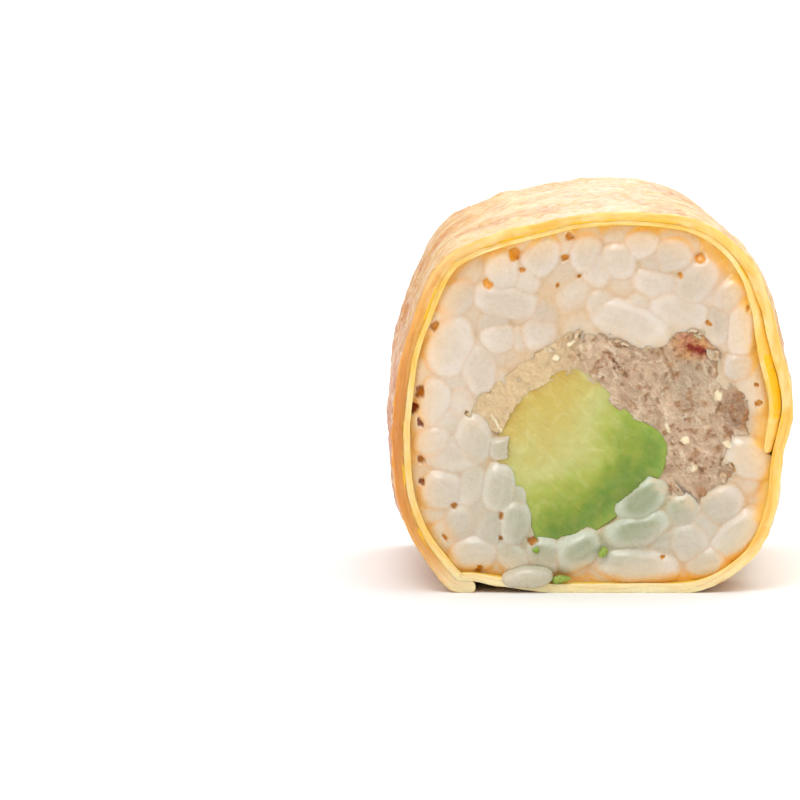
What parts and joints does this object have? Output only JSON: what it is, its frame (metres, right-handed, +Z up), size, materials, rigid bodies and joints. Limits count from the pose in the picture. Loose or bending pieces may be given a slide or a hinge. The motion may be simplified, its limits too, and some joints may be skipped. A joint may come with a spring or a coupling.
{
  "type": "sushi roll slice",
  "caption": "Thick slice of an egg-wrapped sushi roll lying on its side, with its cut ends showing rice, an avocado stick and flaked tuna.",
  "frame": {"origin": "middle of the slice's outline seen from above, on the surface that it rests on", "axes": "+Y along the roll's axis, away from the shown cut; +X to the right as seen at that cut; +Z up"},
  "size_m": [0.0344, 0.0309, 0.0325],
  "materials": {
    "egg": "thin fried egg sheet, pale yellow at its cut edge and mottled golden brown outside, slightly moist",
    "rice": "steamed short grain rice, off-white and slightly see-through, moist",
    "avocado": "smooth cut avocado flesh, yellow on one side and green near the skin side",
    "tuna": "cooked flaked tuna, fibrous, beige to brown"
  },
  "bodies": {
    "root": {"egg_sheet": "egg", "rice": "rice", "avocado": "avocado", "tuna": "tuna"}
  },
  "joints": []
}
